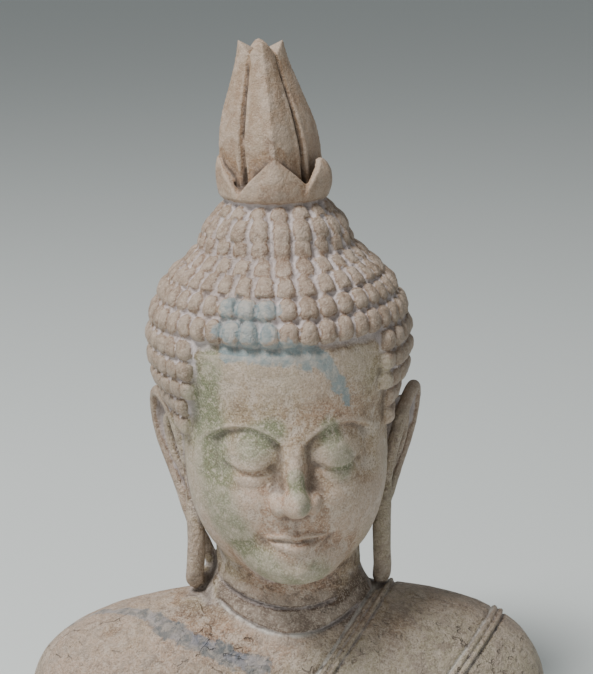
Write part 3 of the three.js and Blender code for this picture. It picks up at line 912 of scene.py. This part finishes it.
class Stone(Paint):
    """Weathered stone, painted in coats. Each coat covers a share of what lies under it."""

    def __init__(self):
        super().__init__("weathered_stone")
        self.broad = self.noise(11, 3)
        self.cloud = self.noise(38, 6, 0.66, 0.6)
        self.mottle = self.noise(120, 5, 0.62, 0.4)
        self.fine = self.noise(330, 5, 0.65)
        self.grain = self.noise(1100, 3, 0.6)
        self.coarse = self.attribute("coarse")
        split = self.tree.nodes.new("ShaderNodeSeparateXYZ")
        self.link(self.place, split.inputs[0])
        self.height = split.outputs["Z"]
        self.colour = self.blend(self.ramp(self.broad, 0.38, 0.62), rose, sand)
        self.paint_patches()
        self.paint_stains_and_neck_shade()
        self.paint_damage()
        self.paint_speckle()
        self.paint_dust()
        self.paint_wear_and_shade()
        self.link(self.colour, self.shader.inputs["Base Color"])
        self.link(self.ramp(self.mottle, 0.3, 0.7, 0.45, 0.68), self.shader.inputs["Roughness"])
        self.roughen()

    def coat(self, share, colour):
        self.colour = self.blend(share, self.colour, colour)

    def deepen(self, in_hair, on_finial):
        """Browner hair and a warmer finial, each by its own share."""
        self.coat(self.times(self.attribute("hair"), in_hair), tan_brown)
        foot = seat_z * MM
        self.coat(self.ramp(self.height, foot, foot + 3 * MM, 0, on_finial), warm)

    def paint_patches(self):
        self.coat(self.times(self.ramp(self.cloud, 0.5, 0.7, 0, 0.45), self.coarse), brown)
        self.coat(self.ramp(self.mottle, 0.49, 0.38, 0, 0.6), pale)
        self.coat(self.times(self.ramp(self.mottle, 0.52, 0.64, 0, 0.55), self.coarse), brown)
        self.deepen(0.75, 0.6)

    def paint_stains_and_neck_shade(self):
        self.coat(self.stroke_share("green", self.cloud, 1.4, 0.4, 0.9), green)
        # Umber over the brown strokes: stains, and painted shade on the neck under the chin
        self.coat(self.stroke_share("brown", self.mottle, 1.6, 0.3, 0.85), umber)

    def paint_damage(self):
        """Broken cracks and clusters of pits, most of them below the chin."""
        on_body = self.ramp(self.height, 0.09, 0.06, 0.1, 1)
        cracks = self.ramp(self.cells(34, "DISTANCE_TO_EDGE", 70, 0.02), 0.0, 0.014, 1, 0)
        broken = self.times(self.ramp(self.cloud, 0.5, 0.62), self.ramp(self.mottle, 0.44, 0.54))
        self.cracked = self.times(cracks, broken, on_body)
        self.coat(self.times(self.cracked, 0.6), brown)
        pits = self.ramp(self.cells(170, "F1", 90, 0.01), 0.16, 0.26, 1, 0)
        self.pitted = self.times(pits, self.ramp(self.broad, 0.42, 0.58), on_body)
        self.coat(self.times(self.pitted, 0.5), brown)

    def paint_speckle(self):
        self.coat(self.times(self.ramp(self.fine, 0.52, 0.64, 0, 0.45), self.coarse), brown)
        self.coat(self.ramp(self.fine, 0.48, 0.36, 0, 0.5), pale)
        self.coat(self.ramp(self.grain, 0.52, 0.63, 0, 0.5), brown)
        self.coat(self.ramp(self.grain, 0.48, 0.37, 0, 0.5), pale)
        self.deepen(0.3, 0.5)

    def paint_dust(self):
        """Pale dust in the hollows, and a blue stain that is slate low down and thinner over dust."""
        dusty = self.times(self.attribute("dust"), self.ramp(self.cloud, 0.35, 0.6, 0.95, 0.5))
        self.coat(dusty, dust)
        blue = self.blend(self.ramp(self.mottle, 0.46, 0.56), slate, lilac)
        blue = self.blend(self.ramp(self.height, 0.12, 0.18), blue, pale_blue)
        blue = self.blend(self.ramp(self.fine, 0.52, 0.4, 0, 0.3), blue, pale)
        dustless = self.math("MULTIPLY_ADD", dusty, -0.5, 1.0)
        self.coat(self.times(self.stroke_share("blue", self.mottle, 2.8, 0.2, 0.85), dustless), blue)

    def paint_wear_and_shade(self):
        """Dirt and painted shade in the grooves, chalky lines along the carving and pale, rubbed edges.
        """
        # Painted shade together with dirt: the deeper the hollow, the darker
        self.coat(self.times(self.attribute("dirt_and_shade"), 0.85), dark)
        chalky = self.ramp(self.mottle, 0.6, 0.45, 0.3, 0.95)
        self.coat(self.times(self.attribute("chalk"), chalky), chalk)
        edge = self.ramp(self.attribute("hollow"), -0.08, -0.3)
        self.coat(self.times(edge, self.ramp(self.mottle, 0.35, 0.6, 0.1, 0.45)), pale)

    def roughen(self):
        grains = self.math("ADD", self.times(self.fine, 0.6), self.times(self.grain, 0.25))
        lumps = self.math("ADD", grains, self.times(self.mottle, 0.8))
        damage = self.math("ADD", self.cracked, self.times(self.pitted, 0.5))
        relief = self.times(self.math("SUBTRACT", lumps, damage), self.coarse)
        bump = self.tree.nodes.new("ShaderNodeBump")
        bump.inputs["Strength"].default_value = 0.85
        bump.inputs["Distance"].default_value = 0.003
        self.link(relief, bump.inputs["Height"])
        self.link(bump.outputs["Normal"], self.shader.inputs["Normal"])


def plain_material(name, colour, roughness):
    material = bpy.data.materials.new(name)
    material.use_nodes = True
    shader = material.node_tree.nodes["Principled BSDF"]
    shader.inputs["Base Color"].default_value = (*colour, 1)
    shader.inputs["Roughness"].default_value = roughness
    return material


def add_camera():
    """The photograph's view: a little to the figure's right, from above, through a long lens."""
    azimuth = radians(-5)
    elevation = radians(12)
    distance = 1.1
    target = Vector((0.004, 0, 0.2))
    back = Vector((sin(azimuth) * cos(elevation), -cos(azimuth) * cos(elevation), sin(elevation)))
    camera = bpy.data.objects.new("camera", bpy.data.cameras.new("camera"))
    camera.data.lens = 117.5
    camera.data.sensor_width = 36
    camera.location = target + back * distance
    camera.rotation_euler = back.to_track_quat("Z", "Y").to_euler()
    bpy.context.scene.collection.objects.link(camera)
    bpy.context.scene.camera = camera


def add_lamp(name, place, energy, size):
    lamp = bpy.data.objects.new(name, bpy.data.lights.new(name, "AREA"))
    lamp.data.energy = energy
    lamp.data.size = size
    lamp.location = place
    target = Vector((0, 0, 0.18))
    lamp.rotation_euler = (Vector(place) - target).to_track_quat("Z", "Y").to_euler()
    bpy.context.scene.collection.objects.link(lamp)
    return lamp


def add_studio():
    floor_mesh = bpy.data.meshes.new("floor")
    half = 12
    corners = [(-half, -half, 0), (half, -half, 0), (half, half, 0), (-half, half, 0)]
    floor_mesh.from_pydata(corners, [], [(0, 1, 2, 3)])
    floor_mesh.materials.append(plain_material("pale_floor", (0.68, 0.71, 0.69), 0.9))
    floor = bpy.data.objects.new("floor", floor_mesh)
    bpy.context.scene.collection.objects.link(floor)
    key = add_lamp("key", (-0.95, -0.6, 2.1), 65, 0.7)
    fill = add_lamp("fill", (-0.9, -1.5, 0.5), 4, 1.2)
    world = bpy.data.worlds.new("soft light")
    world.use_nodes = True
    background = world.node_tree.nodes["Background"]
    background.inputs["Color"].default_value = (0.85, 0.9, 0.92, 1)
    background.inputs["Strength"].default_value = 0.3
    bpy.context.scene.world = world
    return floor, key, fill


add_camera()
floor, key, fill = add_studio()
stone = carve()
stone.data.materials.clear()
stone.data.materials.append(Stone().material)
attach(stone, "root")
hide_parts("bust")
